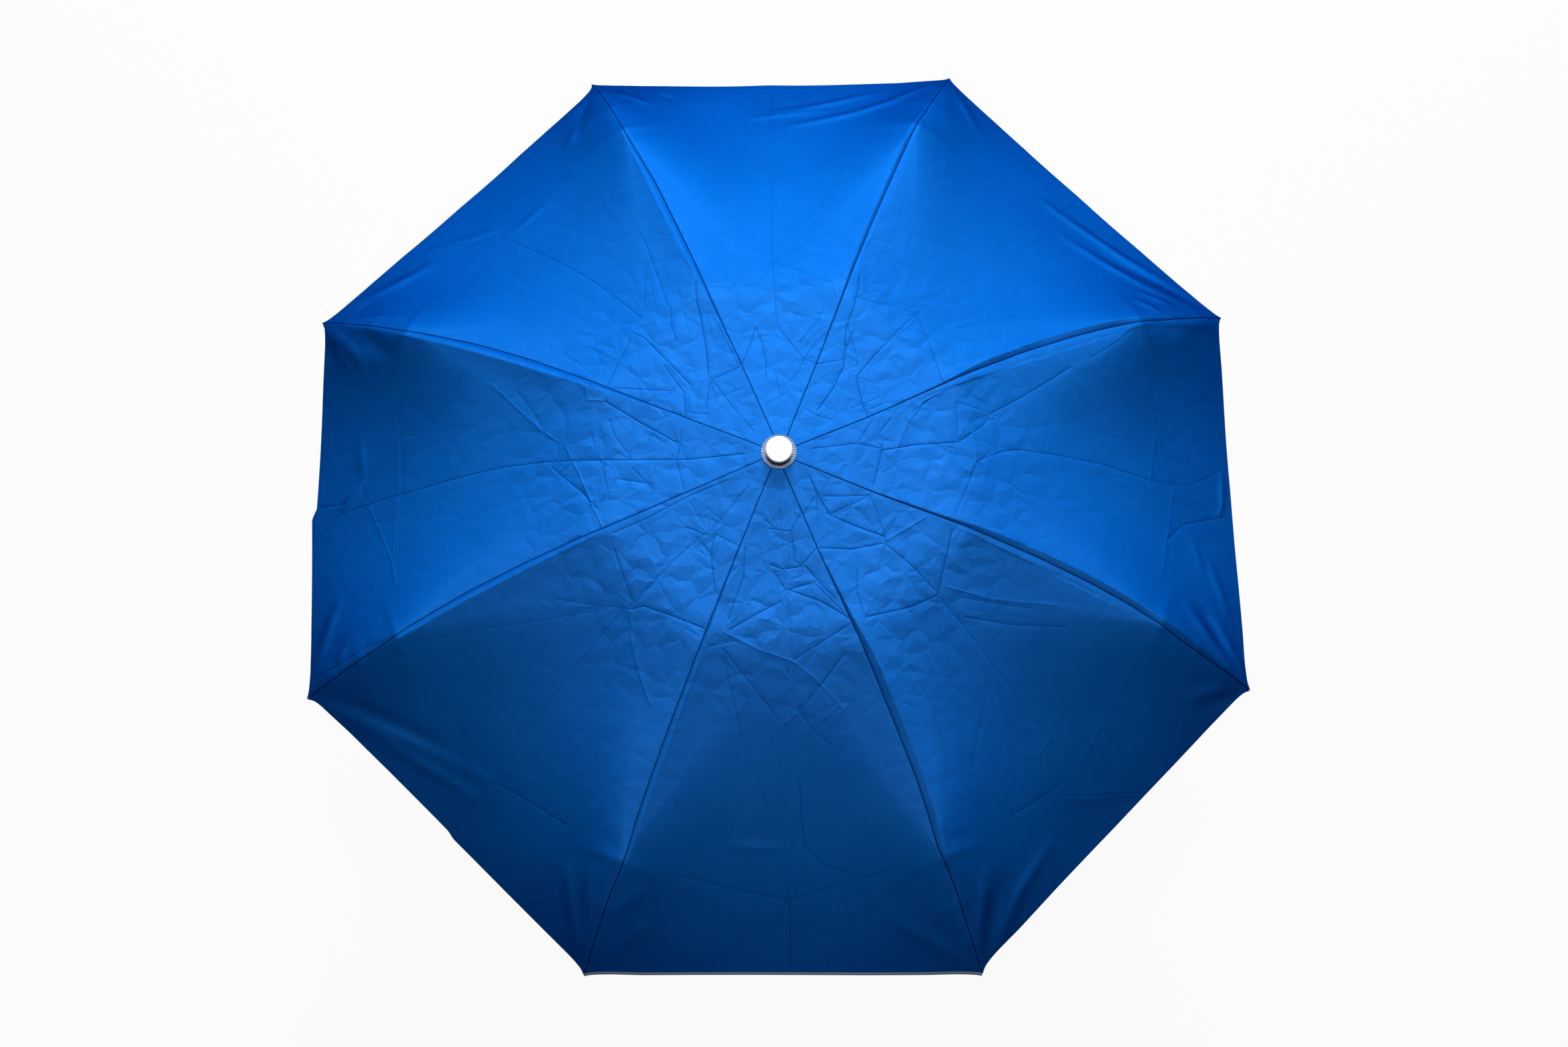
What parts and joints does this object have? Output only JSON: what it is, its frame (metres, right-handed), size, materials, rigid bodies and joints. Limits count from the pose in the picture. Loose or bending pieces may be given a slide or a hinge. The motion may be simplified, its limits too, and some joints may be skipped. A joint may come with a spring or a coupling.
{
  "type": "folding umbrella",
  "caption": "Opened three-fold pocket umbrella with a sewn fabric canopy on folding steel ribs, a sliding runner and a telescoping shaft.",
  "frame": {"origin": "centre of the handle's flat end face", "axes": "+Z along the shaft from the handle to the cap; +X midway between two ribs"},
  "size_m": [0.9002, 0.9002, 0.5619],
  "materials": {
    "canopy_fabric": "fine plain-weave polyester, silver-coated underneath",
    "washer_plastic": "translucent, pleated",
    "cap_plastic": "glossy white moulding",
    "hub_plastic": "satin moulding",
    "tube_steel": "bright zinc-plated tube",
    "rib_steel": "plated channel strip",
    "wire_steel": "plated wire",
    "spring_steel": "plain spring strip",
    "tip_plastic": "satin moulding",
    "handle_plastic": "satin moulding",
    "collar_chrome": "bright plate"
  },
  "bodies": {
    "grip": {"handle": "handle_plastic", "handle_collar": "collar_chrome", "handle_end_plate": "handle_plastic", "lower_tube": "tube_steel"},
    "tube_catch_lower": {"tube_catch_lower": "spring_steel"},
    "middle_stage": {"middle_tube": "tube_steel"},
    "tube_catch_upper": {"tube_catch_upper": "spring_steel"},
    "upper_stage": {"upper_tube": "tube_steel", "top_notch": "hub_plastic", "notch_wire": "wire_steel", "canopy": "canopy_fabric", "canopy_washer": "washer_plastic", "top_cap": "cap_plastic"},
    "runner_catch": {"runner_catch": "spring_steel"},
    "rib_inner_1": {"rib_inner_1": "rib_steel"},
    "rib_middle_1": {"rib_middle_1": "rib_steel"},
    "rib_outer_1": {"rib_outer_1": "wire_steel", "rib_tip_1": "tip_plastic"},
    "stretcher_1": {"stretcher_1": "rib_steel"},
    "rib_inner_2": {"rib_inner_2": "rib_steel"},
    "rib_middle_2": {"rib_middle_2": "rib_steel"},
    "rib_outer_2": {"rib_outer_2": "wire_steel", "rib_tip_2": "tip_plastic"},
    "stretcher_2": {"stretcher_2": "rib_steel"},
    "rib_inner_3": {"rib_inner_3": "rib_steel"},
    "rib_middle_3": {"rib_middle_3": "rib_steel"},
    "rib_outer_3": {"rib_outer_3": "wire_steel", "rib_tip_3": "tip_plastic"},
    "stretcher_3": {"stretcher_3": "rib_steel"},
    "rib_inner_4": {"rib_inner_4": "rib_steel"},
    "rib_middle_4": {"rib_middle_4": "rib_steel"},
    "rib_outer_4": {"rib_outer_4": "wire_steel", "rib_tip_4": "tip_plastic"},
    "stretcher_4": {"stretcher_4": "rib_steel"},
    "rib_inner_5": {"rib_inner_5": "rib_steel"},
    "rib_middle_5": {"rib_middle_5": "rib_steel"},
    "rib_outer_5": {"rib_outer_5": "wire_steel", "rib_tip_5": "tip_plastic"},
    "stretcher_5": {"stretcher_5": "rib_steel"},
    "rib_inner_6": {"rib_inner_6": "rib_steel"},
    "rib_middle_6": {"rib_middle_6": "rib_steel"},
    "rib_outer_6": {"rib_outer_6": "wire_steel", "rib_tip_6": "tip_plastic"},
    "stretcher_6": {"stretcher_6": "rib_steel"},
    "rib_inner_7": {"rib_inner_7": "rib_steel"},
    "rib_middle_7": {"rib_middle_7": "rib_steel"},
    "rib_outer_7": {"rib_outer_7": "wire_steel", "rib_tip_7": "tip_plastic"},
    "stretcher_7": {"stretcher_7": "rib_steel"},
    "rib_inner_8": {"rib_inner_8": "rib_steel"},
    "rib_middle_8": {"rib_middle_8": "rib_steel"},
    "rib_outer_8": {"rib_outer_8": "wire_steel", "rib_tip_8": "tip_plastic"},
    "stretcher_8": {"stretcher_8": "rib_steel"},
    "runner": {"runner": "hub_plastic", "runner_wire": "wire_steel"}
  },
  "joints": [
    {"name": "lower_tube_slide", "type": "slide", "parent": "grip", "child": "middle_stage", "axis": [0, 0, 1], "range_m": [-0.141, 0], "deforming": ["tube_catch_lower"]},
    {"name": "upper_tube_slide", "type": "slide", "parent": "middle_stage", "child": "upper_stage", "axis": [0, 0, 1], "range_m": [-0.146, 0], "deforming": ["tube_catch_upper"]},
    {"name": "canopy_fold", "type": "hinge", "parent": "upper_stage", "child": "rib_inner_1", "pos_m": [0.00924, 0.00383, 0.547], "axis": [-0.3827, 0.9239, 0], "range_deg": [0, 80], "deforming": ["canopy", "runner_catch"]},
    {"name": "rib_middle_fold_1", "type": "hinge", "parent": "rib_inner_1", "child": "rib_middle_1", "pos_m": [0.16318, 0.06759, 0.5255], "axis": [0.3827, -0.9239, 0], "range_deg": [0, 189]},
    {"name": "rib_outer_fold_1", "type": "hinge", "parent": "rib_middle_1", "child": "rib_outer_1", "pos_m": [0.34374, 0.14238, 0.45419], "axis": [-0.3827, 0.9239, 0], "range_deg": [0, 153]},
    {"name": "stretcher_fold_1", "type": "hinge", "parent": "rib_inner_1", "child": "stretcher_1", "pos_m": [0.08009, 0.03318, 0.53279], "axis": [0.3827, -0.9239, 0], "range_deg": [0, 160]},
    {"name": "rib_inner_fold_2", "type": "hinge", "parent": "upper_stage", "child": "rib_inner_2", "pos_m": [0.00383, 0.00924, 0.547], "axis": [-0.9239, 0.3827, 0], "range_deg": [0, 80]},
    {"name": "rib_middle_fold_2", "type": "hinge", "parent": "rib_inner_2", "child": "rib_middle_2", "pos_m": [0.06759, 0.16318, 0.5255], "axis": [0.9239, -0.3827, 0], "range_deg": [0, 189]},
    {"name": "rib_outer_fold_2", "type": "hinge", "parent": "rib_middle_2", "child": "rib_outer_2", "pos_m": [0.14238, 0.34374, 0.45419], "axis": [-0.9239, 0.3827, 0], "range_deg": [0, 153]},
    {"name": "stretcher_fold_2", "type": "hinge", "parent": "rib_inner_2", "child": "stretcher_2", "pos_m": [0.03318, 0.08009, 0.53279], "axis": [0.9239, -0.3827, 0], "range_deg": [0, 160]},
    {"name": "rib_inner_fold_3", "type": "hinge", "parent": "upper_stage", "child": "rib_inner_3", "pos_m": [-0.00383, 0.00924, 0.547], "axis": [-0.9239, -0.3827, 0], "range_deg": [0, 80]},
    {"name": "rib_middle_fold_3", "type": "hinge", "parent": "rib_inner_3", "child": "rib_middle_3", "pos_m": [-0.06759, 0.16318, 0.5255], "axis": [0.9239, 0.3827, 0], "range_deg": [0, 189]},
    {"name": "rib_outer_fold_3", "type": "hinge", "parent": "rib_middle_3", "child": "rib_outer_3", "pos_m": [-0.14238, 0.34374, 0.45419], "axis": [-0.9239, -0.3827, 0], "range_deg": [0, 153]},
    {"name": "stretcher_fold_3", "type": "hinge", "parent": "rib_inner_3", "child": "stretcher_3", "pos_m": [-0.03318, 0.08009, 0.53279], "axis": [0.9239, 0.3827, 0], "range_deg": [0, 160]},
    {"name": "rib_inner_fold_4", "type": "hinge", "parent": "upper_stage", "child": "rib_inner_4", "pos_m": [-0.00924, 0.00383, 0.547], "axis": [-0.3827, -0.9239, 0], "range_deg": [0, 80]},
    {"name": "rib_middle_fold_4", "type": "hinge", "parent": "rib_inner_4", "child": "rib_middle_4", "pos_m": [-0.16318, 0.06759, 0.5255], "axis": [0.3827, 0.9239, 0], "range_deg": [0, 189]},
    {"name": "rib_outer_fold_4", "type": "hinge", "parent": "rib_middle_4", "child": "rib_outer_4", "pos_m": [-0.34374, 0.14238, 0.45419], "axis": [-0.3827, -0.9239, 0], "range_deg": [0, 153]},
    {"name": "stretcher_fold_4", "type": "hinge", "parent": "rib_inner_4", "child": "stretcher_4", "pos_m": [-0.08009, 0.03318, 0.53279], "axis": [0.3827, 0.9239, 0], "range_deg": [0, 160]},
    {"name": "rib_inner_fold_5", "type": "hinge", "parent": "upper_stage", "child": "rib_inner_5", "pos_m": [-0.00924, -0.00383, 0.547], "axis": [0.3827, -0.9239, 0], "range_deg": [0, 80]},
    {"name": "rib_middle_fold_5", "type": "hinge", "parent": "rib_inner_5", "child": "rib_middle_5", "pos_m": [-0.16318, -0.06759, 0.5255], "axis": [-0.3827, 0.9239, 0], "range_deg": [0, 189]},
    {"name": "rib_outer_fold_5", "type": "hinge", "parent": "rib_middle_5", "child": "rib_outer_5", "pos_m": [-0.34374, -0.14238, 0.45419], "axis": [0.3827, -0.9239, 0], "range_deg": [0, 153]},
    {"name": "stretcher_fold_5", "type": "hinge", "parent": "rib_inner_5", "child": "stretcher_5", "pos_m": [-0.08009, -0.03318, 0.53279], "axis": [-0.3827, 0.9239, 0], "range_deg": [0, 160]},
    {"name": "rib_inner_fold_6", "type": "hinge", "parent": "upper_stage", "child": "rib_inner_6", "pos_m": [-0.00383, -0.00924, 0.547], "axis": [0.9239, -0.3827, 0], "range_deg": [0, 80]},
    {"name": "rib_middle_fold_6", "type": "hinge", "parent": "rib_inner_6", "child": "rib_middle_6", "pos_m": [-0.06759, -0.16318, 0.5255], "axis": [-0.9239, 0.3827, 0], "range_deg": [0, 189]},
    {"name": "rib_outer_fold_6", "type": "hinge", "parent": "rib_middle_6", "child": "rib_outer_6", "pos_m": [-0.14238, -0.34374, 0.45419], "axis": [0.9239, -0.3827, 0], "range_deg": [0, 153]},
    {"name": "stretcher_fold_6", "type": "hinge", "parent": "rib_inner_6", "child": "stretcher_6", "pos_m": [-0.03318, -0.08009, 0.53279], "axis": [-0.9239, 0.3827, 0], "range_deg": [0, 160]},
    {"name": "rib_inner_fold_7", "type": "hinge", "parent": "upper_stage", "child": "rib_inner_7", "pos_m": [0.00383, -0.00924, 0.547], "axis": [0.9239, 0.3827, 0], "range_deg": [0, 80]},
    {"name": "rib_middle_fold_7", "type": "hinge", "parent": "rib_inner_7", "child": "rib_middle_7", "pos_m": [0.06759, -0.16318, 0.5255], "axis": [-0.9239, -0.3827, 0], "range_deg": [0, 189]},
    {"name": "rib_outer_fold_7", "type": "hinge", "parent": "rib_middle_7", "child": "rib_outer_7", "pos_m": [0.14238, -0.34374, 0.45419], "axis": [0.9239, 0.3827, 0], "range_deg": [0, 153]},
    {"name": "stretcher_fold_7", "type": "hinge", "parent": "rib_inner_7", "child": "stretcher_7", "pos_m": [0.03318, -0.08009, 0.53279], "axis": [-0.9239, -0.3827, 0], "range_deg": [0, 160]},
    {"name": "rib_inner_fold_8", "type": "hinge", "parent": "upper_stage", "child": "rib_inner_8", "pos_m": [0.00924, -0.00383, 0.547], "axis": [0.3827, 0.9239, 0], "range_deg": [0, 80]},
    {"name": "rib_middle_fold_8", "type": "hinge", "parent": "rib_inner_8", "child": "rib_middle_8", "pos_m": [0.16318, -0.06759, 0.5255], "axis": [-0.3827, -0.9239, 0], "range_deg": [0, 189]},
    {"name": "rib_outer_fold_8", "type": "hinge", "parent": "rib_middle_8", "child": "rib_outer_8", "pos_m": [0.34374, -0.14238, 0.45419], "axis": [0.3827, 0.9239, 0], "range_deg": [0, 153]},
    {"name": "stretcher_fold_8", "type": "hinge", "parent": "rib_inner_8", "child": "stretcher_8", "pos_m": [0.08009, -0.03318, 0.53279], "axis": [-0.3827, -0.9239, 0], "range_deg": [0, 160]},
    {"name": "runner_travel", "type": "hinge", "parent": "stretcher_1", "child": "runner", "pos_m": [0.00924, 0.00383, 0.51858], "axis": [-0.3827, 0.9239, 0], "range_deg": [0, 80]},
    {"name": "runner_catch_press", "type": "hinge", "parent": "upper_stage", "child": "runner_catch", "pos_m": [0.0065, 0, 0.47728], "axis": [0, -1, 0], "range_deg": [0, 11], "stiffness_Nm_per_rad": 0.03},
    {"name": "tube_catch_lower_press", "type": "hinge", "parent": "grip", "child": "tube_catch_lower", "pos_m": [0.00344, 0, 0.199], "axis": [0, -1, 0], "range_deg": [0, 5], "stiffness_Nm_per_rad": 0.3},
    {"name": "tube_catch_upper_press", "type": "hinge", "parent": "middle_stage", "child": "tube_catch_upper", "pos_m": [0.00437, 0, 0.354], "axis": [0, -1, 0], "range_deg": [0, 5], "stiffness_Nm_per_rad": 0.3}
  ],
  "couplings": [
    {"joint": "rib_middle_fold_1", "follows": "canopy_fold", "ratio": 2.3625},
    {"joint": "rib_outer_fold_1", "follows": "canopy_fold", "ratio": 1.9125},
    {"joint": "stretcher_fold_1", "follows": "canopy_fold", "ratio": 2},
    {"joint": "rib_inner_fold_2", "follows": "canopy_fold", "ratio": 1},
    {"joint": "rib_middle_fold_2", "follows": "canopy_fold", "ratio": 2.3625},
    {"joint": "rib_outer_fold_2", "follows": "canopy_fold", "ratio": 1.9125},
    {"joint": "stretcher_fold_2", "follows": "canopy_fold", "ratio": 2},
    {"joint": "rib_inner_fold_3", "follows": "canopy_fold", "ratio": 1},
    {"joint": "rib_middle_fold_3", "follows": "canopy_fold", "ratio": 2.3625},
    {"joint": "rib_outer_fold_3", "follows": "canopy_fold", "ratio": 1.9125},
    {"joint": "stretcher_fold_3", "follows": "canopy_fold", "ratio": 2},
    {"joint": "rib_inner_fold_4", "follows": "canopy_fold", "ratio": 1},
    {"joint": "rib_middle_fold_4", "follows": "canopy_fold", "ratio": 2.3625},
    {"joint": "rib_outer_fold_4", "follows": "canopy_fold", "ratio": 1.9125},
    {"joint": "stretcher_fold_4", "follows": "canopy_fold", "ratio": 2},
    {"joint": "rib_inner_fold_5", "follows": "canopy_fold", "ratio": 1},
    {"joint": "rib_middle_fold_5", "follows": "canopy_fold", "ratio": 2.3625},
    {"joint": "rib_outer_fold_5", "follows": "canopy_fold", "ratio": 1.9125},
    {"joint": "stretcher_fold_5", "follows": "canopy_fold", "ratio": 2},
    {"joint": "rib_inner_fold_6", "follows": "canopy_fold", "ratio": 1},
    {"joint": "rib_middle_fold_6", "follows": "canopy_fold", "ratio": 2.3625},
    {"joint": "rib_outer_fold_6", "follows": "canopy_fold", "ratio": 1.9125},
    {"joint": "stretcher_fold_6", "follows": "canopy_fold", "ratio": 2},
    {"joint": "rib_inner_fold_7", "follows": "canopy_fold", "ratio": 1},
    {"joint": "rib_middle_fold_7", "follows": "canopy_fold", "ratio": 2.3625},
    {"joint": "rib_outer_fold_7", "follows": "canopy_fold", "ratio": 1.9125},
    {"joint": "stretcher_fold_7", "follows": "canopy_fold", "ratio": 2},
    {"joint": "rib_inner_fold_8", "follows": "canopy_fold", "ratio": 1},
    {"joint": "rib_middle_fold_8", "follows": "canopy_fold", "ratio": 2.3625},
    {"joint": "rib_outer_fold_8", "follows": "canopy_fold", "ratio": 1.9125},
    {"joint": "stretcher_fold_8", "follows": "canopy_fold", "ratio": 2},
    {"joint": "runner_travel", "follows": "canopy_fold", "ratio": 1}
  ]
}
